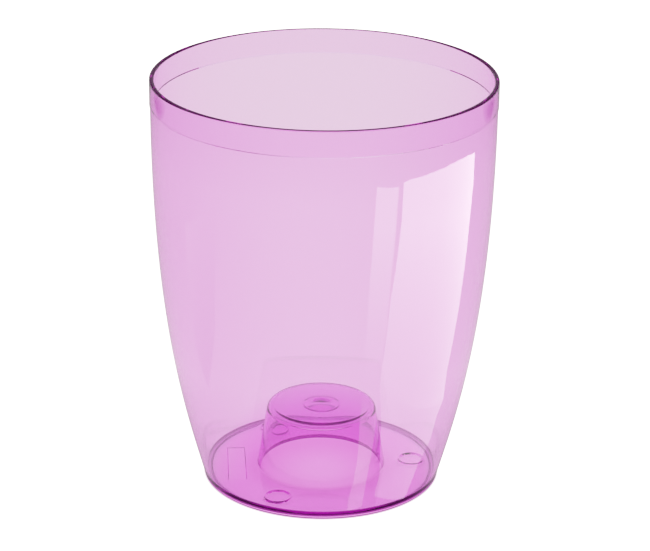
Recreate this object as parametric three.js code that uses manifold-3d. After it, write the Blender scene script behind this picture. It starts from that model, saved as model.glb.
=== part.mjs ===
// Clear orchid pot: a tinted see-through cover pot with a hollow riser in its floor.
// It is one moulding. Each mesh is one of its features, cut where the moulding has an edge,
// and neighbours meet face to face on flat rings. Millimetres, +Z up.
// The origin is the centre of the ring that the pot stands on.

import * as THREE from 'three';
import { mergeVertices } from 'three/addons/utils/BufferGeometryUtils.js';
import Module from 'manifold-3d';

const wasm = await Module();
wasm.setup();

// Overall sizes
const POT_HEIGHT = 160;
const RIM_DIAMETER = 130;
const BASE_DIAMETER = 91;

// Rim band: the upright, thicker strip that ends in the lip
const RIM_BAND_HEIGHT = 10;
const RIM_THICKNESS = 1.8;
const RIM_EDGE_RADIUS = 0.6;
const LIP_FLAT = 0.2; // least flat that the two rounded edges leave between them
const RIM_STEP = 0.25; // how far the band stands out from the wall below it
const RIM_STEP_HEIGHT = 0.3; // height of the small slope that leads there

// Side wall: it leaves the foot leaning outwards and ends upright under the band
const WALL_THICKNESS = 1.5;
const BASE_FLARE = THREE.MathUtils.degToRad(15.7); // lean from upright at the foot
const LOWER_FULLNESS = 0.18; // how far the lean carries up, as a share of the wall's height
const UPPER_FULLNESS = 0.56; // how far the upright top carries down, likewise
const FLOOR_FILLET = 0.5; // inside, where the wall meets the floor

// Foot ring and floor
const FOOT_HEIGHT = 1.3;
const FOOT_WIDTH = 2;
const FOOT_EDGE_RADIUS = 0.3;
const FOOT_INNER_FILLET = 1; // between the foot's inner face and the floor's underside
const FLOOR_THICKNESS = 1.65;

// Riser: the hollow cone that lifts a grow pot above the drained water
const RISER_HEIGHT = 24.9; // from the floor to the flat top
const RISER_FOOT_DIAMETER = 49.7;
const RISER_TOP_DIAMETER = 41.8; // where the cone and the flat top would meet in a sharp corner
const RISER_WALL_THICKNESS = 1.4;
const RISER_TOP_THICKNESS = 1.4;
const RISER_SHOULDER = 2.8; // rounding of that corner
const RISER_INNER_SHOULDER = 1.2; // the same in the hollow
const RISER_CUT_DEPTH = 0.4; // the top is cut from the cone this far below both roundings
const RISER_FOOT_FILLET = 0.6;
const MOUTH_ROUNDING = 1.6; // lower edge of the hollow, under the floor

// Gate mark in the hollow's ceiling: a low ridge round a dimple where the plastic flowed in
const GATE_DIAMETER = 16;
const GATE_RIDGE = 0.4; // how far the ridge hangs below the ceiling
const GATE_CREST = 0.8; // width of its flat crest
const GATE_SLOPE = 1.1; // width of its outer slope
const DIMPLE_DIAMETER = 6.4;
const DIMPLE_EDGE = 0.1; // how far the dimple's edge lies below the ceiling
const DIMPLE_DEPTH = 0.2; // how far its middle lies above the ceiling
const DIMPLE_SLOPE = 2; // width of its sloping side

// Marks of the floor: low rings on top that the ejectors left, and a blank oblong pad underneath
const EJECTOR_COUNT = 3;
const EJECTOR_DIAMETER = 11.6;
const EJECTOR_LIP = 0.4; // height of a ring
const EJECTOR_LIP_WIDTH = 1.7;
const EJECTOR_CREST = 0.2; // width of its flat crest, between two slopes
const EJECTOR_WALL_CLEARANCE = 3.35; // from a ring's edge to the inside of the wall, at the floor
const EJECTOR_START = THREE.MathUtils.degToRad(3.2);
const PAD_WIDTH = 7.1; // along the radius
const PAD_LENGTH = 28.6; // across the radius
const PAD_DEPTH = 0.3;
const PAD_FOOT_CLEARANCE = 4.2; // from the pad's outer corners to the inside of the foot ring
const PAD_TURN = THREE.MathUtils.degToRad(184.3);

// How finely the round surfaces are cut into flats
const TURN_STEPS = 64;
const WALL_STEPS = 11;
const FILLET_STEPS = 4;
const MARK_STEPS = 32;
const MERGE_DISTANCE = 1e-4; // points closer than this are one point

// Places and slopes that follow from the sizes above
const FOOT_INSIDE = BASE_DIAMETER / 2 - FOOT_WIDTH;
const FLOOR_TOP = FOOT_HEIGHT + FLOOR_THICKNESS;
const BAND_BOTTOM = POT_HEIGHT - RIM_BAND_HEIGHT;
const RISER_TOP = FLOOR_TOP + RISER_HEIGHT;
const RISER_FOOT_RADIUS = RISER_FOOT_DIAMETER / 2;
const RISER_CORNER_RADIUS = RISER_TOP_DIAMETER / 2;
const RISER_LEAN = Math.atan((RISER_FOOT_RADIUS - RISER_CORNER_RADIUS) / RISER_HEIGHT);
const RISER_CEILING = RISER_TOP - RISER_TOP_THICKNESS;

// How far a rounding of the riser's corners runs along each of the two sides it joins
const cornerRun = (rounding) => rounding * Math.tan(Math.PI / 4 - RISER_LEAN / 2);
const SHOULDER_BOTTOM = RISER_TOP - cornerRun(RISER_SHOULDER) * Math.cos(RISER_LEAN);
const INNER_BOTTOM = RISER_CEILING - cornerRun(RISER_INNER_SHOULDER) * Math.cos(RISER_LEAN);
const RISER_CUT = Math.min(SHOULDER_BOTTOM, INNER_BOTTOM) - RISER_CUT_DEPTH;

const point = (radius, height) => new THREE.Vector2(radius, height);

// Points along an arc in the (radius, height) plane, both ends included
function arc(centre, radius, from, to) {
  const points = [];
  for (let i = 0; i <= FILLET_STEPS; i++) {
    const angle = from + ((to - from) * i) / FILLET_STEPS;
    points.push(point(centre.x + radius * Math.cos(angle), centre.y + radius * Math.sin(angle)));
  }
  return points;
}

// Outside of the foot and of the floor's edge: a plain cone that leans by the flare
const flareRadius = (height) => BASE_DIAMETER / 2 + height * Math.tan(BASE_FLARE);

// Inside of the wall near the floor, where it is still such a cone
const wallInside = (height) => flareRadius(height) - WALL_THICKNESS / Math.cos(BASE_FLARE);

// Outside and inside of the riser's cone
const riserOuter = (height) => RISER_FOOT_RADIUS - (height - FLOOR_TOP) * Math.tan(RISER_LEAN);
const riserInner = (height) => riserOuter(height) - RISER_WALL_THICKNESS / Math.cos(RISER_LEAN);

const plastic = {
  color: new THREE.Color('#dd8fd3'),
  roughness: 0.08,
  metalness: 0,
  transparent: true,
  opacity: 0.55,
};

function mesh(name, geometry) {
  const piece = new THREE.Mesh(geometry, new THREE.MeshStandardMaterial(plastic));
  piece.name = name;
  return piece;
}

// A geometry turned about +Z from an outline of (radius, height) points
function turned(outline, steps = TURN_STEPS) {
  const geometry = new THREE.LatheGeometry(outline, steps);
  geometry.rotateX(Math.PI / 2);
  return geometry;
}

const ring = (outline, steps) => turned([...outline, outline[0]], steps);

function solidOf(geometry) {
  const bare = geometry.clone();
  bare.deleteAttribute('normal');
  bare.deleteAttribute('uv');
  const merged = mergeVertices(bare, MERGE_DISTANCE);
  return new wasm.Manifold(new wasm.Mesh({
    numProp: 3,
    vertProperties: new Float32Array(merged.attributes.position.array),
    triVerts: new Uint32Array(merged.index.array),
  }));
}

function geometryOf(solid) {
  const { vertProperties, triVerts } = solid.getMesh();
  const geometry = new THREE.BufferGeometry();
  geometry.setAttribute('position', new THREE.BufferAttribute(vertProperties, 3));
  geometry.setIndex(new THREE.BufferAttribute(triVerts, 1));
  geometry.computeVertexNormals();
  return geometry;
}

// The ring that the pot stands on, with a rounded outer edge and a fillet up to the floor
function footRing() {
  const inset = (FOOT_EDGE_RADIUS * (1 - Math.sin(BASE_FLARE))) / Math.cos(BASE_FLARE);
  const edgeCentre = point(flareRadius(0) - inset, FOOT_EDGE_RADIUS);
  const fillet = Math.min(FOOT_INNER_FILLET, FOOT_HEIGHT - FOOT_EDGE_RADIUS);
  const filletCentre = point(FOOT_INSIDE - fillet, FOOT_HEIGHT - fillet);
  return mesh('foot_ring', ring([
    ...arc(edgeCentre, FOOT_EDGE_RADIUS, -Math.PI / 2, -BASE_FLARE),
    point(flareRadius(FOOT_HEIGHT), FOOT_HEIGHT),
    ...arc(filletCentre, fillet, Math.PI / 2, 0),
    point(FOOT_INSIDE, 0),
  ]));
}

// The floor: a flat ring from the riser's mouth out to the pot's outside, with its marks
function floorPlate() {
  const rounding = Math.min(MOUTH_ROUNDING, FLOOR_THICKNESS);
  const mouth = riserInner(FOOT_HEIGHT) + cornerRun(rounding);
  const plate = ring([
    point(flareRadius(FOOT_HEIGHT), FOOT_HEIGHT),
    point(flareRadius(FLOOR_TOP), FLOOR_TOP),
    point(riserInner(FLOOR_TOP), FLOOR_TOP),
    ...arc(point(mouth, FOOT_HEIGHT + rounding), rounding, Math.PI + RISER_LEAN, 1.5 * Math.PI),
  ]);
  let solid = solidOf(plate);

  // Each raised ring is rooted half-way down in the floor, so that the two join
  const ejectorRadius = EJECTOR_DIAMETER / 2;
  const lipInside = ejectorRadius - EJECTOR_LIP_WIDTH;
  const lipSlope = (EJECTOR_LIP_WIDTH - EJECTOR_CREST) / 2;
  const lipTop = FLOOR_TOP + EJECTOR_LIP;
  const lipRoot = FLOOR_TOP - FLOOR_THICKNESS / 2;
  const ejectorReach = wallInside(FLOOR_TOP) - EJECTOR_WALL_CLEARANCE - ejectorRadius;
  for (let i = 0; i < EJECTOR_COUNT; i++) {
    const mark = ring([
      point(ejectorRadius, lipRoot),
      point(ejectorRadius, FLOOR_TOP),
      point(ejectorRadius - lipSlope, lipTop),
      point(lipInside + lipSlope, lipTop),
      point(lipInside, FLOOR_TOP),
      point(lipInside, lipRoot),
    ], MARK_STEPS);
    mark.translate(ejectorReach, 0, 0);
    mark.rotateZ(EJECTOR_START + (i * 2 * Math.PI) / EJECTOR_COUNT);
    solid = solid.add(solidOf(mark));
  }

  // The pad's cutter straddles the underside, so half of its height bites
  const padReach = Math.sqrt((FOOT_INSIDE - PAD_FOOT_CLEARANCE) ** 2 - (PAD_LENGTH / 2) ** 2);
  const pad = new THREE.BoxGeometry(PAD_WIDTH, PAD_LENGTH, 2 * PAD_DEPTH);
  pad.translate(padReach - PAD_WIDTH / 2, 0, FOOT_HEIGHT);
  pad.rotateZ(PAD_TURN);
  return mesh('floor_plate', geometryOf(solid.subtract(solidOf(pad))));
}

// The riser's cone, from the floor up to just below its rounded corners
function riserWall() {
  const fillet = RISER_FOOT_FILLET;
  const filletCentre = point(RISER_FOOT_RADIUS + cornerRun(fillet), FLOOR_TOP + fillet);
  return mesh('riser_wall', ring([
    ...arc(filletCentre, fillet, 1.5 * Math.PI, Math.PI + RISER_LEAN),
    point(riserOuter(RISER_CUT), RISER_CUT),
    point(riserInner(RISER_CUT), RISER_CUT),
    point(riserInner(FLOOR_TOP), FLOOR_TOP),
  ]));
}

// The riser's flat top with its rounded shoulder, and the gate mark in the middle of its underside
function riserTop() {
  const outerCentre = point(RISER_CORNER_RADIUS - cornerRun(RISER_SHOULDER), RISER_TOP - RISER_SHOULDER);
  const innerCorner = riserInner(RISER_CEILING) - cornerRun(RISER_INNER_SHOULDER);
  const innerCentre = point(innerCorner, RISER_CEILING - RISER_INNER_SHOULDER);
  const crestRadius = GATE_DIAMETER / 2 - GATE_SLOPE;
  const crestHeight = RISER_CEILING - GATE_RIDGE;
  const dimpleTop = RISER_CEILING + DIMPLE_DEPTH;
  return mesh('riser_top', turned([
    point(0, dimpleTop),
    point(DIMPLE_DIAMETER / 2 - DIMPLE_SLOPE, dimpleTop),
    point(DIMPLE_DIAMETER / 2, RISER_CEILING - DIMPLE_EDGE),
    point(crestRadius - GATE_CREST, crestHeight),
    point(crestRadius, crestHeight),
    point(GATE_DIAMETER / 2, RISER_CEILING),
    ...arc(innerCentre, RISER_INNER_SHOULDER, Math.PI / 2, RISER_LEAN),
    point(riserInner(RISER_CUT), RISER_CUT),
    point(riserOuter(RISER_CUT), RISER_CUT),
    ...arc(outerCentre, RISER_SHOULDER, RISER_LEAN, Math.PI / 2),
    point(0, RISER_TOP),
  ]));
}

// The side wall: one curve from the leaning foot to the upright top, with an even thickness
function sideWall() {
  const rise = BAND_BOTTOM - FLOOR_TOP;
  const foot = point(flareRadius(FLOOR_TOP), FLOOR_TOP);
  const top = point(RIM_DIAMETER / 2 - RIM_STEP, BAND_BOTTOM);
  const lean = rise * LOWER_FULLNESS;
  const curve = new THREE.CubicBezierCurve(
    foot,
    point(foot.x + lean * Math.tan(BASE_FLARE), foot.y + lean),
    point(top.x, top.y - rise * UPPER_FULLNESS),
    top,
  );

  const inside = [point(top.x - WALL_THICKNESS, top.y)];
  for (let i = WALL_STEPS - 1; i > 0; i--) {
    const here = curve.getPoint(i / WALL_STEPS);
    const along = curve.getTangent(i / WALL_STEPS);
    inside.push(point(here.x - along.y * WALL_THICKNESS, here.y + along.x * WALL_THICKNESS));
  }

  // The fillet touches the floor and the inside of the wall
  const filletReach = FLOOR_FILLET * Math.tan(Math.PI / 4 - BASE_FLARE / 2);
  const filletCentre = point(wallInside(FLOOR_TOP) - filletReach, FLOOR_TOP + FLOOR_FILLET);
  return mesh('side_wall', ring([
    ...curve.getPoints(WALL_STEPS),
    ...inside,
    ...arc(filletCentre, FLOOR_FILLET, -BASE_FLARE, -Math.PI / 2),
  ]));
}

// The rim band and its lip, with both upper edges rounded and a small slope down to the wall
function rimBand() {
  const outside = RIM_DIAMETER / 2;
  const inside = outside - RIM_THICKNESS;
  const edge = Math.min(RIM_EDGE_RADIUS, (RIM_THICKNESS - LIP_FLAT) / 2);
  const edgeHeight = POT_HEIGHT - edge;
  return mesh('rim_band', ring([
    point(outside - RIM_STEP, BAND_BOTTOM),
    point(outside, BAND_BOTTOM + RIM_STEP_HEIGHT),
    ...arc(point(outside - edge, edgeHeight), edge, 0, Math.PI / 2),
    ...arc(point(inside + edge, edgeHeight), edge, Math.PI / 2, Math.PI),
    point(inside, BAND_BOTTOM),
  ]));
}

const base = new THREE.Group();
base.add(footRing(), floorPlate());

const riser = new THREE.Group();
riser.add(riserWall(), riserTop());

const body = new THREE.Group();
body.add(sideWall(), rimBand());

const pot = new THREE.Group();
pot.name = 'orchid_pot';
pot.add(base, riser, body);

export default pot;
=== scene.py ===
# %% [markdown]
# # A clear orchid pot
#
# An orchid likes light on its roots, so its cover pot is moulded in a see-through plastic with
# a pink-violet tint. This lesson rebuilds such a pot in Blender around a fixed frame of plain
# solids. A clear thing has no colour of its own to paint: what the eye sees is the paper behind
# it, dimmed by the plastic and bent at each surface. So the lesson spends its care on a true
# closed shell, on the plastic's absorption, and on what there is to see and to mirror around it.

# %% Load the fixed frame
import math

import bmesh
import bpy
from mathutils import Matrix, Vector
from mathutils.geometry import delaunay_2d_cdt


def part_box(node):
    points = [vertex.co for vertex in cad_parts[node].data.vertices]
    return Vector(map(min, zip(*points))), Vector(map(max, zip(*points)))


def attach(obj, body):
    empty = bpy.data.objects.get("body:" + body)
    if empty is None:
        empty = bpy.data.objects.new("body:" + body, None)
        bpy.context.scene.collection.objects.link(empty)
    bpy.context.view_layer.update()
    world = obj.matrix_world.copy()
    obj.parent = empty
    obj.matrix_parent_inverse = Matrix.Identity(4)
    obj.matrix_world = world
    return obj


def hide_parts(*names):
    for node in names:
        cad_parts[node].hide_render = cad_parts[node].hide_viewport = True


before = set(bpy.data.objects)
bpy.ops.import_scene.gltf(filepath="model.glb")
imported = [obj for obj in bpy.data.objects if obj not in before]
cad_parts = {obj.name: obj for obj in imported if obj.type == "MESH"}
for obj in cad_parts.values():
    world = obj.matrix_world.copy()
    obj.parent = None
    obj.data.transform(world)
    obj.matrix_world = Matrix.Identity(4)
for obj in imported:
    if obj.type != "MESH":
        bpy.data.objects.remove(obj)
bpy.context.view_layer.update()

MM = 0.001
print("nodes in the frame:", sorted(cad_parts))

# %% [markdown]
# ## Sizes
#
# The frame already fixes where the rim, the floor and the riser are, so those sizes are read
# from its boxes and can't drift away from it. Thicknesses, roundings and slopes don't show in a
# box, so they are written down here, in millimetres times `MM`.

# %% Sizes from the frame, and those that a box can't tell
def bottom(node):
    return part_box(node)[0].z


def top(node):
    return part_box(node)[1].z


def reach(node):
    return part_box(node)[1].x


RIM_RADIUS = reach("rim_band")
WALL_TOP_RADIUS = reach("side_wall")
FLOOR_EDGE_RADIUS = reach("floor_plate")
LIP_HEIGHT = top("rim_band")
BAND_BOTTOM = bottom("rim_band")
FLOOR_TOP = bottom("riser_wall")
FLOOR_UNDERSIDE = bottom("floor_plate")

RIM_THICKNESS = 1.8 * MM
RIM_EDGE_RADIUS = 0.6 * MM
RIM_STEP_HEIGHT = 0.3 * MM  # slope from the band in to the wall
WALL_THICKNESS = 1.5 * MM
WALL_FLARE = math.radians(15.7)  # lean from upright at the foot
LOWER_FULLNESS = 0.18  # how far that lean carries up the wall
UPPER_FULLNESS = 0.56  # how far the upright top carries down it
FLOOR_FILLET = 0.5 * MM
FOOT_WIDTH = 2.0 * MM
FOOT_EDGE_RADIUS = 0.3 * MM
FOOT_INNER_EDGE_RADIUS = 0.25 * MM
FOOT_INNER_FILLET = 1.0 * MM
BASE_RADIUS = FLOOR_EDGE_RADIUS - FLOOR_TOP * math.tan(WALL_FLARE)
FOOT_INSIDE = BASE_RADIUS - FOOT_WIDTH
FLAT_EDGE = 2.6 * MM  # strip of the flat floor that is turned along with its neighbours
print(f"pot {LIP_HEIGHT / MM:.1f} mm tall, {2 * RIM_RADIUS / MM:.1f} mm across the rim")

# %% [markdown]
# ## The outline of the shell
#
# The real pot is one injection moulding, so it is one closed surface: light enters the plastic
# once and leaves it once. Stacked separate rings would show every joint as a mirror. The way to
# draw such a thing is a single outline, turned about the axis. A corner is a point with a
# rounding, and one helper replaces each corner by a tangent arc.

# %% Round the corners of an outline
ARC_STEPS = 6


def rounded(corners):
    """Points (radius, height) through (radius, height, rounding) corners, arcs in place of corners."""
    path = []
    for i, (radius, height, rounding) in enumerate(corners):
        here = Vector((radius, height))
        if not rounding:
            path.append(here)
            continue
        back = (Vector(corners[i - 1][:2]) - here).normalized()
        ahead = (Vector(corners[i + 1][:2]) - here).normalized()
        opening = back.angle(ahead)
        sweep = math.pi - opening
        centre = here + (back + ahead).normalized() * rounding / math.sin(opening / 2)
        start = here + back * rounding / math.tan(opening / 2) - centre
        end = here + ahead * rounding / math.tan(opening / 2) - centre
        for k in range(ARC_STEPS + 1):
            part = sweep * k / ARC_STEPS
            spoke = (start * math.sin(sweep - part) + end * math.sin(part)) / math.sin(sweep)
            path.append(centre + spoke)
    return path


print(f"each rounded corner gets {ARC_STEPS + 1} points")

# %% [markdown]
# ## The side wall's curve
#
# The wall leaves the foot leaning outwards and ends upright under the rim band. One Bezier curve
# does that with two handles, the same curve that the frame's side wall follows. The inside is
# the same curve moved in by the wall's thickness, square to it.

# %% Sample the wall's outside and inside
WALL_STEPS = 36

wall_foot = Vector((FLOOR_EDGE_RADIUS, FLOOR_TOP))
wall_top = Vector((WALL_TOP_RADIUS, BAND_BOTTOM))
wall_rise = BAND_BOTTOM - FLOOR_TOP
lower_handle = wall_foot + LOWER_FULLNESS * wall_rise * Vector((math.tan(WALL_FLARE), 1.0))
upper_handle = wall_top - UPPER_FULLNESS * wall_rise * Vector((0.0, 1.0))


def wall_point(share):
    rest = 1.0 - share
    return (
        rest**3 * wall_foot
        + 3 * rest**2 * share * lower_handle
        + 3 * rest * share**2 * upper_handle
        + share**3 * wall_top
    )


def wall_slope(share):
    rest = 1.0 - share
    return (
        rest**2 * (lower_handle - wall_foot)
        + 2 * rest * share * (upper_handle - lower_handle)
        + share**2 * (wall_top - upper_handle)
    ).normalized()


wall_outside = []
wall_inside = []
for i in range(WALL_STEPS + 1):
    here = wall_point(i / WALL_STEPS)
    along = wall_slope(i / WALL_STEPS)
    wall_outside.append((here.x, here.y, 0))
    wall_inside.append((here.x - along.y * WALL_THICKNESS, here.y + along.x * WALL_THICKNESS, 0))
print(f"wall curve: {len(wall_outside)} points from {wall_foot / MM} to {wall_top / MM}")

# %% [markdown]
# ## Riser and gate mark
#
# The hollow cone in the floor lifts the plant's own pot above the drained water. In the middle of
# its ceiling, on the side that faced the mould's nozzle, the plastic flowed in: a low ridge runs
# round a dimple there. Its slopes are gentle, yet the clear top shows them as lines, because each
# slope bends the view of the paper below. Riser and mark are part of the same outline.

# %% Sizes of the riser and of the gate mark
RISER_TOP = top("riser_top")
RISER_FOOT_RADIUS = 24.85 * MM
RISER_CORNER_RADIUS = 20.9 * MM  # where cone and flat top would meet in a sharp corner
RISER_THICKNESS = 1.4 * MM
RISER_TOP_THICKNESS = 1.4 * MM
RISER_SHOULDER = 2.8 * MM
RISER_INNER_SHOULDER = 1.2 * MM
RISER_FOOT_FILLET = 0.6 * MM
MOUTH_ROUNDING = 1.6 * MM
GATE_RADIUS = 8.0 * MM
GATE_RIDGE = 0.4 * MM  # how far the ridge hangs below the ceiling
GATE_CREST = 0.8 * MM
GATE_SLOPE = 1.1 * MM
DIMPLE_RADIUS = 3.2 * MM
DIMPLE_EDGE = 0.1 * MM  # how far the dimple's edge lies below the ceiling
DIMPLE_DEPTH = 0.2 * MM  # how far its middle lies above the ceiling
DIMPLE_SLOPE = 2.0 * MM

riser_height = RISER_TOP - FLOOR_TOP
riser_lean = math.atan((RISER_FOOT_RADIUS - RISER_CORNER_RADIUS) / riser_height)


def riser_inside(height):
    outside = RISER_FOOT_RADIUS - (height - FLOOR_TOP) * math.tan(riser_lean)
    return outside - RISER_THICKNESS / math.cos(riser_lean)


riser_ceiling = RISER_TOP - RISER_TOP_THICKNESS
crest_radius = GATE_RADIUS - GATE_SLOPE
rim_inside = RIM_RADIUS - RIM_THICKNESS
wall_inside_foot = FLOOR_EDGE_RADIUS - WALL_THICKNESS / math.cos(WALL_FLARE)
print(f"riser {riser_height / MM:.1f} mm above the floor, leaning {math.degrees(riser_lean):.1f} degrees")

# %% Outlines of the whole shell, upper side first
riser_outline = rounded([
    (0, RISER_TOP, 0),
    (RISER_CORNER_RADIUS, RISER_TOP, RISER_SHOULDER),
    (RISER_FOOT_RADIUS, FLOOR_TOP, RISER_FOOT_FILLET),
    (RISER_FOOT_RADIUS + FLAT_EDGE, FLOOR_TOP, 0),
])
wall_outline = rounded([
    (wall_inside_foot - FLAT_EDGE, FLOOR_TOP, 0),
    (wall_inside_foot, FLOOR_TOP, FLOOR_FILLET),
    *wall_inside[1:],
    (rim_inside, BAND_BOTTOM, 0),
    (rim_inside, LIP_HEIGHT, RIM_EDGE_RADIUS),
    (RIM_RADIUS, LIP_HEIGHT, RIM_EDGE_RADIUS),
    (RIM_RADIUS, BAND_BOTTOM + RIM_STEP_HEIGHT, 0),
    *reversed(wall_outside),
    (BASE_RADIUS, 0, FOOT_EDGE_RADIUS),
    (FOOT_INSIDE, 0, FOOT_INNER_EDGE_RADIUS),
    (FOOT_INSIDE, FLOOR_UNDERSIDE, FOOT_INNER_FILLET),
    (FOOT_INSIDE - FLAT_EDGE, FLOOR_UNDERSIDE, 0),
])
hollow_outline = rounded([
    (riser_inside(FLOOR_UNDERSIDE) + FLAT_EDGE, FLOOR_UNDERSIDE, 0),
    (riser_inside(FLOOR_UNDERSIDE), FLOOR_UNDERSIDE, MOUTH_ROUNDING),
    (riser_inside(riser_ceiling), riser_ceiling, RISER_INNER_SHOULDER),
    (GATE_RADIUS, riser_ceiling, 0),
    (crest_radius, riser_ceiling - GATE_RIDGE, 0),
    (crest_radius - GATE_CREST, riser_ceiling - GATE_RIDGE, 0),
    (DIMPLE_RADIUS, riser_ceiling - DIMPLE_EDGE, 0),
    (DIMPLE_RADIUS - DIMPLE_SLOPE, riser_ceiling + DIMPLE_DEPTH, 0),
    (0, riser_ceiling + DIMPLE_DEPTH, 0),
])
print(f"outline points: riser {len(riser_outline)}, wall {len(wall_outline)}, hollow {len(hollow_outline)}")

# %% [markdown]
# ## Marks of the floor
#
# Ejector pins push the pot off its mould and leave three low rings on the floor, and a blank
# oblong pad is sunk into its underside. Seen through the clear wall they are the floor's only
# drawing, so they are real steps in the mesh. A flat ring with islands in it is awkward to fill
# by hand; a constrained Delaunay triangulation does it from the islands' edges.

# %% Sizes of the marks
EJECTOR_COUNT = 3
EJECTOR_RADIUS = 5.8 * MM
EJECTOR_TO_WALL = 3.35 * MM
EJECTOR_RING = wall_inside_foot - EJECTOR_TO_WALL - EJECTOR_RADIUS
EJECTOR_START = math.radians(3.2)
EJECTOR_LIP = top("floor_plate") - FLOOR_TOP
EJECTOR_LIP_WIDTH = 1.7 * MM
EJECTOR_CREST = 0.2 * MM
CIRCLE_STEPS = 64
PAD_SLOPE = 0.2 * MM
PAD_HALF = Vector((3.55, 14.3)) * MM
PAD_RING = 33.05 * MM
PAD_TURN = math.radians(184.3)
PAD_DEPTH = 0.3 * MM
print(f"ejector rings on a circle of radius {EJECTOR_RING / MM:.1f} mm, the pad {PAD_RING / MM:.1f} mm out")


# %% Loops of points for each mark
def circle(centre, radius, height):
    turns = [2 * math.pi * i / CIRCLE_STEPS for i in range(CIRCLE_STEPS)]
    return [(centre.x + radius * math.cos(t), centre.y + radius * math.sin(t), height) for t in turns]


def oblong(turn, distance, half, height):
    across = Matrix.Rotation(turn, 2)
    signs = [(1, 1), (-1, 1), (-1, -1), (1, -1)]
    places = [across @ Vector((distance + sx * half.x, sy * half.y)) for sx, sy in signs]
    return [(place.x, place.y, height) for place in places]


lip_slope = (EJECTOR_LIP_WIDTH - EJECTOR_CREST) / 2
crest = EJECTOR_RADIUS - lip_slope
floor_marks = []
for i in range(EJECTOR_COUNT):
    turn = EJECTOR_START + 2 * math.pi * i / EJECTOR_COUNT
    centre = EJECTOR_RING * Vector((math.cos(turn), math.sin(turn)))
    floor_marks.append(circle(centre, EJECTOR_RADIUS, FLOOR_TOP))
    floor_marks.append(circle(centre, crest, FLOOR_TOP + EJECTOR_LIP))
    floor_marks.append(circle(centre, crest - EJECTOR_CREST, FLOOR_TOP + EJECTOR_LIP))
    floor_marks.append(circle(centre, EJECTOR_RADIUS - EJECTOR_LIP_WIDTH, FLOOR_TOP))
pad_inset = PAD_HALF - Vector((PAD_SLOPE, PAD_SLOPE))
pad_marks = [
    oblong(PAD_TURN, PAD_RING, PAD_HALF, FLOOR_UNDERSIDE),
    oblong(PAD_TURN, PAD_RING, pad_inset, FLOOR_UNDERSIDE + PAD_DEPTH),
]
print(f"{len(floor_marks)} loops of points on the floor, {len(pad_marks)} under it")

# %% [markdown]
# ## Turning the outline into a shell
#
# `bmesh` gives full control of every vertex: one ring of vertices for each outline point, quads
# between neighbouring rings, and one shared vertex on the axis. The two flat rings of the floor,
# above and below, are filled from edge to edge round their marks, and so the surface closes.

# %% Turn an outline, and fill a flat ring round its marks
TURN_STEPS = 256
WHOLE_HULL = 0  # the triangulation's mode that covers everything inside the outer edge
WELD_DISTANCE = 1e-9


def turned_rings(mesh, outline):
    rings = []
    for radius, height in outline:
        turns = [2 * math.pi * i / TURN_STEPS for i in range(TURN_STEPS if radius else 1)]
        places = [(radius * math.cos(t), radius * math.sin(t), height) for t in turns]
        rings.append([mesh.verts.new(place) for place in places])
    for ring, following in zip(rings, rings[1:]):
        for i in range(TURN_STEPS):
            j = i + 1
            corners = [ring[i % len(ring)], ring[j % len(ring)]]
            corners += [following[j % len(following)], following[i % len(following)]]
            mesh.faces.new(dict.fromkeys(corners))
    return rings


def fill_between(mesh, outer, inner, islands):
    loops = [outer, inner] + [[mesh.verts.new(place) for place in loop] for loop in islands]
    verts = [vert for loop in loops for vert in loop]
    edges = []
    for loop in loops:
        first = len(edges)
        edges += [(first + i, first + (i + 1) % len(loop)) for i in range(len(loop))]
    flat = [vert.co.xy for vert in verts]
    found = delaunay_2d_cdt(flat, edges, [], WHOLE_HULL, WELD_DISTANCE, True)
    triangles = found[2]
    sources = found[3]  # for each point of the result, the points that it came from
    hole = inner[0].co.xy.length
    for triangle in triangles:
        corners = [verts[sources[k][0]] for k in triangle]
        middle = sum((corner.co.xy for corner in corners), Vector((0, 0))) / len(corners)
        if middle.length > hole:
            mesh.faces.new(corners)


print(f"a ring has {TURN_STEPS} vertices")

# %% Build the closed shell
SHARP_ANGLE = math.radians(32)

shell_mesh = bmesh.new()
riser_rings = turned_rings(shell_mesh, riser_outline)
wall_rings = turned_rings(shell_mesh, wall_outline)
hollow_rings = turned_rings(shell_mesh, hollow_outline)
fill_between(shell_mesh, wall_rings[0], riser_rings[-1], floor_marks)
fill_between(shell_mesh, wall_rings[-1], hollow_rings[0], pad_marks)
bmesh.ops.recalc_face_normals(shell_mesh, faces=shell_mesh.faces)
open_edges = [edge for edge in shell_mesh.edges if len(edge.link_faces) != 2]
volume = shell_mesh.calc_volume()
pot_data = bpy.data.meshes.new("pot_shell")
shell_mesh.to_mesh(pot_data)
shell_mesh.free()
pot_data.polygons.foreach_set("use_smooth", [True] * len(pot_data.polygons))
pot_data.set_sharp_from_angle(angle=SHARP_ANGLE)
pot = bpy.data.objects.new("pot_shell", pot_data)
bpy.context.scene.collection.objects.link(pot)
normals = pot.modifiers.new("even_normals", "WEIGHTED_NORMAL")
normals.keep_sharp = True
print(f"shell: {len(pot_data.polygons)} faces, {len(open_edges)} open edges")
print(f"plastic in it: {volume / MM**3 / 1000:.1f} cm3")

# %% [markdown]
# ## Colours and nodes
#
# Colours are written as sRGB hex values, as a paint program shows them. Shaders count in linear
# light, so one function converts them. Another adds a node, sets its sockets and links it, and a
# third makes a material with nothing in it yet.

# %% Three helpers for every material
def linear(code):
    shares = [int(code[i : i + 2], 16) / 255 for i in (1, 3, 5)]
    return [s / 12.92 if s <= 0.04045 else ((s + 0.055) / 1.055) ** 2.4 for s in shares] + [1.0]


def add_node(tree, kind, inputs=None, **settings):
    node = tree.nodes.new(kind)
    for name, value in settings.items():
        setattr(node, name, value)
    for name, value in (inputs or {}).items():
        if isinstance(value, bpy.types.NodeSocket):
            tree.links.new(value, node.inputs[name])
        else:
            node.inputs[name].default_value = value
    return node


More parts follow.
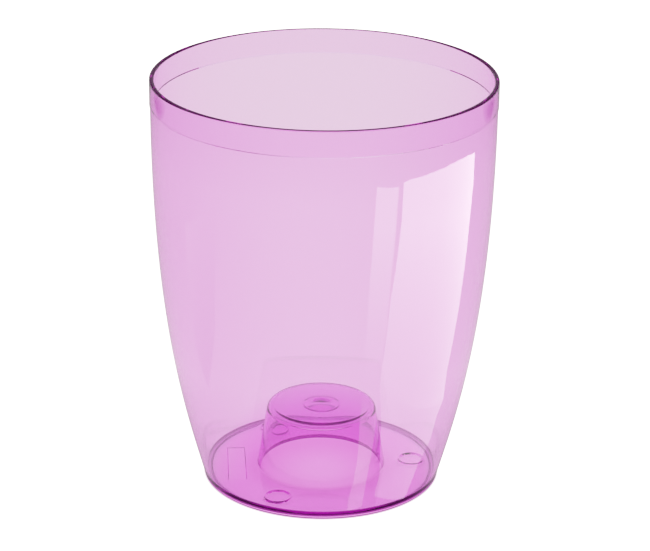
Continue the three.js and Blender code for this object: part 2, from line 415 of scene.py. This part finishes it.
def empty_material(name):
    material = bpy.data.materials.new(name)
    material.use_nodes = True
    material.node_tree.nodes.clear()
    return material


print("half grey as linear light:", round(linear("#808080")[0], 3))

# %% [markdown]
# ## Injection-moulded tinted polystyrene
#
# The plastic is clear polystyrene, moulded against polished steel: a hard, bright gloss and a
# refractive index of 1.59. The dye is in the whole thickness, so thin walls look pale, and edges,
# where the eye looks along the sheet, look dark. That is absorption inside the volume, not a
# painted surface, and it is set on the shader's own sockets.

# %% The plastic
POLYSTYRENE_IOR = 1.59
TINT_KEPT = "#ef63ee"  # the light that the dye lets through
TINT_DENSITY = 270.0  # per metre

plastic = empty_material("injection_moulded_tinted_polystyrene")
tree = plastic.node_tree
surface = add_node(
    tree,
    "ShaderNodeBsdfPrincipled",
    {
        "Base Color": linear("#ffffff"),
        "Roughness": 0.0,
        "IOR": POLYSTYRENE_IOR,
        "Transmission Weight": 1.0,
    },
)
dye = add_node(tree, "ShaderNodeVolumeAbsorption", {"Color": linear(TINT_KEPT), "Density": TINT_DENSITY})
add_node(
    tree,
    "ShaderNodeOutputMaterial",
    {"Surface": surface.outputs["BSDF"], "Volume": dye.outputs["Volume"]},
)
pot_data.materials.append(plastic)
print("plastic absorbs per mm:", [round(TINT_DENSITY * (1 - c) * MM, 3) for c in linear(TINT_KEPT)[:3]])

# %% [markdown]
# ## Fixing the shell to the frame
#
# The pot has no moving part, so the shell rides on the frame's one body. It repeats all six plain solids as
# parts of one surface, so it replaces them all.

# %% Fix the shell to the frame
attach(pot, "root")
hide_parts("foot_ring", "floor_plate", "riser_wall", "riser_top", "side_wall", "rim_band")
print(f"one shell in place of {len(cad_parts)} solids")

# %% [markdown]
# ## The stage: flat sheets that glow
#
# Around the pot there are only flat sheets: paper, light cards and a dark flag. They could be lit by lamps,
# but then each change of a lamp would change them all. Here each sheet glows by itself, so every tone stays
# where it is put, and the tones of paper and flag are painted light and shade. One helper makes a sheet
# from its corners, and another hides it from some kinds of ray, so that a card can show in a mirror image
# and nowhere else.

# %% Helpers for the sheets
def glowing_sheet(name, corners, material):
    data = bpy.data.meshes.new(name)
    data.from_pydata(corners, [], [range(len(corners))])
    data.materials.append(material)
    sheet = bpy.data.objects.new(name, data)
    bpy.context.scene.collection.objects.link(sheet)
    print(f"{name}: a sheet with {len(corners)} corners")
    return sheet


def hide_from(sheet, *rays):
    for ray in rays:
        setattr(sheet, f"visible_{ray}", False)


# %% [markdown]
# ## Paper
#
# White paper, so brightly lit that it burns out to pure white where it is seen bare. Under the pot
# it only gets light that has come through the dye, so it is pink there, and dark in the narrow
# wedge at the foot. Those tones change with the distance from the pot's axis, so a colour ramp
# along that radius holds them.

# %% Paper tones, by distance from the axis in millimetres
PAPER_WHITE = linear("#fcf9f6")
UNDER_DIMPLE = linear("#ffe5f6")
UNDER_RISER_WALL = linear("#f7cbeb")
UNDER_FLOOR = linear("#ffdbf5")
UNDER_FOOT = linear("#e7cbe5")
FOOT_WEDGE = linear("#b39baf")
PAPER_TONES = [
    (0, UNDER_DIMPLE),
    (6, UNDER_DIMPLE),
    (23, UNDER_RISER_WALL),
    (26, UNDER_RISER_WALL),
    (31, UNDER_FLOOR),
    (41.5, UNDER_FLOOR),
    (44, UNDER_FOOT),
    (45.2, FOOT_WEDGE),
    (45.6, FOOT_WEDGE),
    (46.1, PAPER_WHITE),
]
PAPER_TONES_REACH = 50 * MM

white = empty_material("burnt_out_white_paper")
tree = white.node_tree
ray = add_node(tree, "ShaderNodeLightPath")
place = add_node(tree, "ShaderNodeTexCoord")
radius = add_node(tree, "ShaderNodeVectorMath", {"Vector": place.outputs["Object"]}, operation="LENGTH")
under_pot = add_node(
    tree,
    "ShaderNodeMapRange",
    {"Value": radius.outputs["Value"], "From Max": PAPER_TONES_REACH},
)
tones = add_node(tree, "ShaderNodeValToRGB", {"Fac": under_pot.outputs["Result"]})
stops = tones.color_ramp.elements
stops.remove(stops[1])
for number, (distance, colour) in enumerate(PAPER_TONES):
    stop = stops.new(distance * MM / PAPER_TONES_REACH) if number else stops[0]
    stop.color = colour
print(f"paper: {len(stops)} tones within {PAPER_TONES_REACH / MM:.0f} mm of the axis")

# %% [markdown]
# ## What the paper is to a mirror
#
# The gloss mirrors the paper most where the eye meets the wall at a glancing angle. The paper in
# front of the pot is nearer to the lamps than the paper behind it, and the pot's own tinted shadow
# falls in front of it, so the mirrored level falls from front to back and has a soft violet patch.
# The patch is a stretched ball with a soft edge, cut by the paper.

# %% Violet shadow in front of the pot
SHADOW_COLOUR = linear("#e150dd")
SHADOW_CENTRE = Vector((0, -60, 0)) * MM
SHADOW_SIZE = Vector((60, 56, 60)) * MM
SHADOW_FULL = 0.8  # shares of its size between which it fades out
SHADOW_GONE = 1.3

shadow_place = add_node(
    tree,
    "ShaderNodeMapping",
    {"Vector": place.outputs["Object"], "Location": SHADOW_CENTRE, "Scale": SHADOW_SIZE},
    vector_type="TEXTURE",
)
shadow_reach = add_node(
    tree,
    "ShaderNodeVectorMath",
    {"Vector": shadow_place.outputs["Vector"]},
    operation="LENGTH",
)
in_shadow = add_node(
    tree,
    "ShaderNodeMapRange",
    {
        "Value": shadow_reach.outputs["Value"],
        "From Min": SHADOW_FULL,
        "From Max": SHADOW_GONE,
        "To Min": 1,
        "To Max": 0,
    },
)
shadow = add_node(
    tree,
    "ShaderNodeMath",
    {0: in_shadow.outputs["Result"], 1: ray.outputs["Is Reflection Ray"]},
    operation="MULTIPLY",
)
paper_tone = add_node(
    tree,
    "ShaderNodeMixRGB",
    {"Fac": shadow.outputs["Value"], "Color1": tones.outputs["Color"], "Color2": SHADOW_COLOUR},
)
print(f"shadow {2 * SHADOW_SIZE.x / MM:.0f} mm wide, {-SHADOW_CENTRE.y / MM:.0f} mm in front of the axis")

# %% Mirrored level: bright in front, dim behind, at the foot and far out
MIRRORED_FRONT = 2.55
MIRRORED_BACK = 0.55
MIRRORED_AT_FOOT = 0.3  # share of that level
MIRRORED_FAR = 0.75  # share of that level
FOOT_SHADE = (44 * MM, 120 * MM)  # radii between which the foot's dimness ends
FAR_SHADE = (380 * MM, 500 * MM)  # radii between which the far dimness sets in

axes = add_node(tree, "ShaderNodeSeparateXYZ", {"Vector": place.outputs["Object"]})
backward = add_node(
    tree,
    "ShaderNodeMath",
    {0: axes.outputs["Y"], 1: radius.outputs["Value"]},
    operation="DIVIDE",
)
facing = add_node(
    tree,
    "ShaderNodeMapRange",
    {
        "Value": backward.outputs["Value"],
        "From Min": -1,
        "From Max": 1,
        "To Min": MIRRORED_FRONT,
        "To Max": MIRRORED_BACK,
    },
)
near = add_node(
    tree,
    "ShaderNodeMapRange",
    {
        "Value": radius.outputs["Value"],
        "From Min": FOOT_SHADE[0],
        "From Max": FOOT_SHADE[1],
        "To Min": MIRRORED_AT_FOOT,
    },
)
far = add_node(
    tree,
    "ShaderNodeMapRange",
    {
        "Value": radius.outputs["Value"],
        "From Min": FAR_SHADE[0],
        "From Max": FAR_SHADE[1],
        "To Min": 1,
        "To Max": MIRRORED_FAR,
    },
)
spread = add_node(
    tree,
    "ShaderNodeMath",
    {0: near.outputs["Result"], 1: far.outputs["Result"]},
    operation="MULTIPLY",
)
mirrored = add_node(
    tree,
    "ShaderNodeMath",
    {0: spread.outputs["Value"], 1: facing.outputs["Result"]},
    operation="MULTIPLY",
)
print(f"mirrored paper: {MIRRORED_FRONT} in front of the pot, {MIRRORED_BACK} behind it")

# %% [markdown]
# ## One level for each kind of ray
#
# Three things look at the paper and need three levels: the bare view, a view through the plastic,
# and a mirror image on the plastic. The `Light Path` node tells them apart.

# %% Lay the paper
PAPER_HALF = 6.0
PAPER_GAP = 0.2 * MM
PAPER_BARE = 2.0  # level where it is seen bare
PAPER_THROUGH = 1.0  # level through the plastic

outside = add_node(
    tree,
    "ShaderNodeMapRange",
    {
        "Value": ray.outputs["Is Reflection Ray"],
        "To Min": PAPER_BARE,
        "To Max": mirrored.outputs["Value"],
    },
)
level = add_node(
    tree,
    "ShaderNodeMapRange",
    {
        "Value": ray.outputs["Is Transmission Ray"],
        "To Min": outside.outputs["Result"],
        "To Max": PAPER_THROUGH,
    },
)
glow = add_node(
    tree,
    "ShaderNodeEmission",
    {"Color": paper_tone.outputs["Color"], "Strength": level.outputs["Result"]},
)
add_node(tree, "ShaderNodeOutputMaterial", {"Surface": glow.outputs["Emission"]})
paper_corners = [
    (-PAPER_HALF, -PAPER_HALF, 0),
    (PAPER_HALF, -PAPER_HALF, 0),
    (PAPER_HALF, PAPER_HALF, 0),
    (-PAPER_HALF, PAPER_HALF, 0),
]
paper = glowing_sheet("paper", paper_corners, white)
paper.location.z = -PAPER_GAP

# %% [markdown]
# ## Light cards
#
# A glossy thing shows its lamps. On the right of the wall stand a broad window-shaped highlight
# and a narrow strip next to it, on the left a faint one. Each is the mirror image of a bright card
# that lies on the paper, so its outline on the paper decides its outline on the wall, and a curved
# wall needs a bent card for a straight highlight. A low card carries the window on down to the
# floor. The cards are brighter farther out, because the highlights are brightest near the rim.
# Only mirror rays see them.

# %% Outlines of the cards, in millimetres from the axis
CARDS = {
    "window_card": [
        (327, -274), (356, -243), (380, -205), (407, -156), (426, -101), (441, -34), (444, 35),
        (435, 99), (415, 160), (364, 138), (303, 96), (222, 52), (166, 23), (127, 5), (100, 1),
        (78, -107), (110, -133), (149, -164), (201, -194), (263, -229),
    ],
    "strip_card": [
        (228, -358), (305, -287), (234, -234), (167, -185), (117, -142), (82, -114), (58, -85),
        (40, -67), (29, -57), (22, -50), (18, -46), (11, -47), (14, -52), (20, -59), (28, -70),
        (39, -90), (54, -115), (79, -156), (121, -221), (172, -288),
    ],
    "low_card": [
        (100, 1), (78, -107), (58, -77), (46, -63), (36, -52), (26, -46), (34, -33), (55, -27),
        (71, -16), (89, -9),
    ],
    "side_card": [
        (-342, -123), (-334, -43), (-308, 41), (-230, 20), (-150, 5), (-110, -20), (-165, -55),
        (-252, -90),
    ],
}
print("cards:", ", ".join(CARDS))

# %% Lay the cards
CARD_LIFT = 0.5 * MM
CARD_GLOW = {  # strength near the pot and far from it
    "window_card": (2.3, 6.3),
    "low_card": (1.5, 8.2),
    "strip_card": (1.5, 4.8),
    "side_card": (1.1, 1.8),
}
CARD_NEAR = 50 * MM
CARD_FAR = 330 * MM

for name, corners in CARDS.items():
    lit = empty_material(f"backlit_opal_acrylic_{name}")
    tree = lit.node_tree
    place = add_node(tree, "ShaderNodeTexCoord")
    radius = add_node(tree, "ShaderNodeVectorMath", {"Vector": place.outputs["Object"]}, operation="LENGTH")
    level = add_node(
        tree,
        "ShaderNodeMapRange",
        {
            "Value": radius.outputs["Value"],
            "From Min": CARD_NEAR,
            "From Max": CARD_FAR,
            "To Min": CARD_GLOW[name][0],
            "To Max": CARD_GLOW[name][1],
        },
    )
    glow = add_node(tree, "ShaderNodeEmission", {"Color": PAPER_WHITE, "Strength": level.outputs["Result"]})
    add_node(tree, "ShaderNodeOutputMaterial", {"Surface": glow.outputs["Emission"]})
    card = glowing_sheet(name, [(x * MM, y * MM, CARD_LIFT) for x, y in corners], lit)
    hide_from(card, "camera", "diffuse", "transmission", "shadow")

# %% [markdown]
# ## Dark flag
#
# A clear rim on white paper would vanish. So, as a photographer would, a dark flag hangs behind it: a dim
# violet glowing sheet that is painted shade for mirror images. The flat lip mirrors it, and the fine step
# below the band bends the view up to it, so both turn into dark lines. It hangs high enough that neither
# the floor nor a straight view through the wall reaches it. Its lower edge is cut just above what the far
# side of the step looks at, so that line stays faint. At its left and right ends the lip turns its broad
# side to the eye and would be too heavy a line, so there it mirrors a paler painted patch on each side of
# the flag.

# %% Painted tones of the flag: violet shade, with a paler painted patch on each side
# The middle tone is painted violet shade for the rim's dark lines. The side tone paints a paler reflection
# at each end of the lip.
FLAG_MIDDLE = linear("#95308b")
FLAG_PAINTED_PALE_SIDE = linear("#cba2c8")
PATCH_RISE = (40 * MM, 90 * MM)  # from the middle outwards, where the cloth grows paler
PATCH_END = (77 * MM, 84 * MM)  # where it turns dark again
PATCH_HEIGHT = (180 * MM, 195 * MM)  # heights between which the patch sets in

dark = empty_material("flag_painted_violet_shade")
tree = dark.node_tree
place = add_node(tree, "ShaderNodeTexCoord")
axes = add_node(tree, "ShaderNodeSeparateXYZ", {"Vector": place.outputs["Object"]})
sideways = add_node(tree, "ShaderNodeMath", {0: axes.outputs["X"]}, operation="ABSOLUTE")
outwards = add_node(
    tree,
    "ShaderNodeMapRange",
    {"Value": sideways.outputs["Value"], "From Min": PATCH_RISE[0], "From Max": PATCH_RISE[1]},
)
not_yet_ended = add_node(
    tree,
    "ShaderNodeMapRange",
    {"Value": sideways.outputs["Value"], "From Min": PATCH_END[1], "From Max": PATCH_END[0]},
)
upwards = add_node(
    tree,
    "ShaderNodeMapRange",
    {"Value": axes.outputs["Z"], "From Min": PATCH_HEIGHT[0], "From Max": PATCH_HEIGHT[1]},
)
side_part = add_node(
    tree,
    "ShaderNodeMath",
    {0: outwards.outputs["Result"], 1: not_yet_ended.outputs["Result"]},
    operation="MULTIPLY",
)
paler = add_node(
    tree,
    "ShaderNodeMath",
    {0: side_part.outputs["Value"], 1: upwards.outputs["Result"]},
    operation="MULTIPLY",
)
flag_painted_tone = add_node(
    tree,
    "ShaderNodeMixRGB",
    {"Fac": paler.outputs["Value"], "Color1": FLAG_MIDDLE, "Color2": FLAG_PAINTED_PALE_SIDE},
)
glow = add_node(tree, "ShaderNodeEmission", {"Color": flag_painted_tone.outputs["Color"]})
add_node(tree, "ShaderNodeOutputMaterial", {"Surface": glow.outputs["Emission"]})
print(f"flag: paler from {PATCH_RISE[0] / MM:.0f} to {PATCH_END[1] / MM:.0f} mm beside its middle")

# %% Hang the flag
FLAG_DISTANCE = 150 * MM
FLAG_HALF_WIDTH = 500 * MM
FLAG_LOW = 177 * MM
FLAG_LOW_HALF_WIDTH = 36 * MM
FLAG_LOW_SIDES = 190 * MM
FLAG_SIDES_START = 54 * MM
FLAG_HIGH = 750 * MM

flag_edge = [
    (-FLAG_HALF_WIDTH, FLAG_LOW_SIDES),
    (-FLAG_SIDES_START, FLAG_LOW_SIDES),
    (-FLAG_LOW_HALF_WIDTH, FLAG_LOW),
    (FLAG_LOW_HALF_WIDTH, FLAG_LOW),
    (FLAG_SIDES_START, FLAG_LOW_SIDES),
    (FLAG_HALF_WIDTH, FLAG_LOW_SIDES),
    (FLAG_HALF_WIDTH, FLAG_HIGH),
    (-FLAG_HALF_WIDTH, FLAG_HIGH),
]
flag = glowing_sheet("dark_flag", [(x, FLAG_DISTANCE, z) for x, z in flag_edge], dark)
hide_from(flag, "camera", "shadow")

# %% [markdown]
# ## Pale strip: a painted reflection
#
# On the near side of the pot the step's line shows only to the left and right, and its middle fades away.
# That middle looks at one narrow strip of the flag, so a pale glowing strip is put there as a painted pale
# reflection, white in its own middle and as dark as the flag at its ends.

# %% Put the pale strip, a painted reflection, on the flag
PALE_STRIP_MIDDLE = 8 * MM
PALE_STRIP_HALF_WIDTH = 38 * MM
PALE_STRIP_WHITE_HALF_WIDTH = 12 * MM
PALE_STRIP_LOW = 189.5 * MM
PALE_STRIP_HIGH = 206 * MM
PALE_STRIP_GAP = 0.5 * MM
STRIP_PAINTED_WHITE = linear("#ffffff")

pale = empty_material("painted_pale_reflection_glow")
tree = pale.node_tree
place = add_node(tree, "ShaderNodeTexCoord")
axes = add_node(tree, "ShaderNodeSeparateXYZ", {"Vector": place.outputs["Object"]})
sideways = add_node(tree, "ShaderNodeMath", {0: axes.outputs["X"]}, operation="ABSOLUTE")
darker = add_node(
    tree,
    "ShaderNodeMapRange",
    {"Value": sideways.outputs["Value"], "From Min": PALE_STRIP_WHITE_HALF_WIDTH, "From Max": PALE_STRIP_HALF_WIDTH},
)
strip_painted_tone = add_node(
    tree,
    "ShaderNodeMixRGB",
    {"Fac": darker.outputs["Result"], "Color1": STRIP_PAINTED_WHITE, "Color2": FLAG_MIDDLE},
)
glow = add_node(tree, "ShaderNodeEmission", {"Color": strip_painted_tone.outputs["Color"]})
add_node(tree, "ShaderNodeOutputMaterial", {"Surface": glow.outputs["Emission"]})
pale_strip_corners = [
    (-PALE_STRIP_HALF_WIDTH, 0, PALE_STRIP_LOW),
    (PALE_STRIP_HALF_WIDTH, 0, PALE_STRIP_LOW),
    (PALE_STRIP_HALF_WIDTH, 0, PALE_STRIP_HIGH),
    (-PALE_STRIP_HALF_WIDTH, 0, PALE_STRIP_HIGH),
]
pale_strip = glowing_sheet("painted_pale_reflection", pale_strip_corners, pale)
pale_strip.location = (PALE_STRIP_MIDDLE, FLAG_DISTANCE - PALE_STRIP_GAP, 0)
hide_from(pale_strip, "camera", "shadow")

# %% [markdown]
# ## Far ends of the table
#
# At both ends of the rim band the wall turns away from the eye and mirrors the paper far behind
# the pot. There the table ends and the light falls off, which leaves a soft dark smudge on each
# end of the band. Two long ovals stand for that, black in the middle and paler towards their edge.

# %% Lay the dark far ends
FAR_END_REACH = 510 * MM
FAR_END_TURN = math.radians(42)
FAR_END_HALF = Vector((24, 105, 1)) * MM  # along the radius, across it
FAR_END_BLACK = 0.4  # share of the oval that is black
FAR_END_EDGE = 0.57  # level at its edge

shade = empty_material("unlit_table_top")
tree = shade.node_tree
place = add_node(tree, "ShaderNodeTexCoord")
radius = add_node(tree, "ShaderNodeVectorMath", {"Vector": place.outputs["Object"]}, operation="LENGTH")
level = add_node(
    tree,
    "ShaderNodeMapRange",
    {"Value": radius.outputs["Value"], "From Min": FAR_END_BLACK, "To Max": FAR_END_EDGE},
)
glow = add_node(tree, "ShaderNodeEmission", {"Color": PAPER_WHITE, "Strength": level.outputs["Result"]})
add_node(tree, "ShaderNodeOutputMaterial", {"Surface": glow.outputs["Emission"]})
unit_circle = circle(Vector((0, 0)), 1.0, 0.0)  # stretched to an oval by the object's scale
for side, turn in (("right", FAR_END_TURN), ("left", math.pi - FAR_END_TURN)):
    end = glowing_sheet(f"far_table_end_{side}", unit_circle, shade)
    end.location = (FAR_END_REACH * math.cos(turn), FAR_END_REACH * math.sin(turn), CARD_LIFT)
    end.rotation_euler.z = turn
    end.scale = FAR_END_HALF
    hide_from(end, "camera", "diffuse", "transmission", "shadow")

# %% [markdown]
# ## Surroundings
#
# Low down the room is as white as the paper, so floor and riser top mirror white. Overhead hangs a
# dim violet, which fills the light that has run a long way inside the plastic with its own colour
# instead of grey.

# %% Room light by height
HORIZON = linear("#ffffff")
CEILING = linear("#953090")
BARE_ROOM = [PAPER_BARE] * 3 + [1.0]  # behind the pot the room is as burnt out as the paper
WHITE_UP_TO = 0.45  # sine of the angle above the horizon
VIOLET_FROM = 0.65

world = bpy.data.worlds.new("studio")
bpy.context.scene.world = world
world.use_nodes = True
world.node_tree.nodes.clear()
tree = world.node_tree
place = add_node(tree, "ShaderNodeTexCoord")
upward = add_node(tree, "ShaderNodeSeparateXYZ", {"Vector": place.outputs["Generated"]})
fade = add_node(
    tree,
    "ShaderNodeMapRange",
    {"Value": upward.outputs["Z"], "From Min": WHITE_UP_TO, "From Max": VIOLET_FROM},
)
room = add_node(
    tree,
    "ShaderNodeMixRGB",
    {"Fac": fade.outputs["Result"], "Color1": HORIZON, "Color2": CEILING},
)
ray = add_node(tree, "ShaderNodeLightPath")
seen = add_node(
    tree,
    "ShaderNodeMixRGB",
    {"Fac": ray.outputs["Is Camera Ray"], "Color1": room.outputs["Color"], "Color2": BARE_ROOM},
)
sky = add_node(tree, "ShaderNodeBackground", {"Color": seen.outputs["Color"]})
add_node(tree, "ShaderNodeOutputWorld", {"Surface": sky.outputs["Background"]})
print(f"room: white up to {math.degrees(math.asin(WHITE_UP_TO)):.0f} degrees above the horizon")

# %% [markdown]
# ## Camera
#
# The photograph looks down at the pot from about a metre away, with a long lens.

# %% Camera
CAMERA_PLACE = Vector((0.0, -917.99, 442.28)) * MM
CAMERA_PITCH = math.radians(21.50)
CAMERA_YAW = math.radians(0.058)
CAMERA_ROLL = math.radians(0.558)
LENS = 143.06  # in millimetres, as Blender counts it
SENSOR_WIDTH = 36.0  # in millimetres

ahead = Vector((
    math.sin(CAMERA_YAW) * math.cos(CAMERA_PITCH),
    math.cos(CAMERA_YAW) * math.cos(CAMERA_PITCH),
    -math.sin(CAMERA_PITCH),
))
level_right = Vector((math.cos(CAMERA_YAW), -math.sin(CAMERA_YAW), 0.0))
level_up = level_right.cross(ahead)
right = math.cos(CAMERA_ROLL) * level_right + math.sin(CAMERA_ROLL) * level_up
up = right.cross(ahead)
camera_data = bpy.data.cameras.new("camera")
camera_data.lens = LENS
camera_data.sensor_width = SENSOR_WIDTH
camera = bpy.data.objects.new("camera", camera_data)
camera.matrix_world = Matrix.Translation(CAMERA_PLACE) @ Matrix((right, up, -ahead)).transposed().to_4x4()
bpy.context.scene.collection.objects.link(camera)
bpy.context.scene.camera = camera
print(f"camera {CAMERA_PLACE.length:.2f} m from the pot's foot")

# %% [markdown]
# ## Light paths and tone
#
# A ray crosses four to eight plastic surfaces before it meets the paper, so it needs many bounces.
# A camera doesn't clip its highlights hard: above half brightness its response bends over.

# %% Bounces and the camera's tone curve
BOUNCES = 48
SHOULDER = 0.5
FULL_WHITE = 1.5
CURVE_STEPS = 12

scene = bpy.context.scene
scene.cycles.max_bounces = BOUNCES
scene.cycles.transmission_bounces = BOUNCES
scene.cycles.glossy_bounces = BOUNCES
scene.cycles.blur_glossy = 0.0
view = scene.view_settings
view.view_transform = "Standard"
view.use_curve_mapping = True
view.curve_mapping.white_level = (FULL_WHITE,) * 3
tone = view.curve_mapping.curves[3]
tone.points[-1].location = (1.0, 1.0)
for i in range(1, CURVE_STEPS):
    light = FULL_WHITE * i / CURVE_STEPS
    over = max(0.0, light - SHOULDER)
    tone.points.new(light / FULL_WHITE, light - over + over / (1 + over))
view.curve_mapping.update()
print(f"tone curve with {len(tone.points)} points")
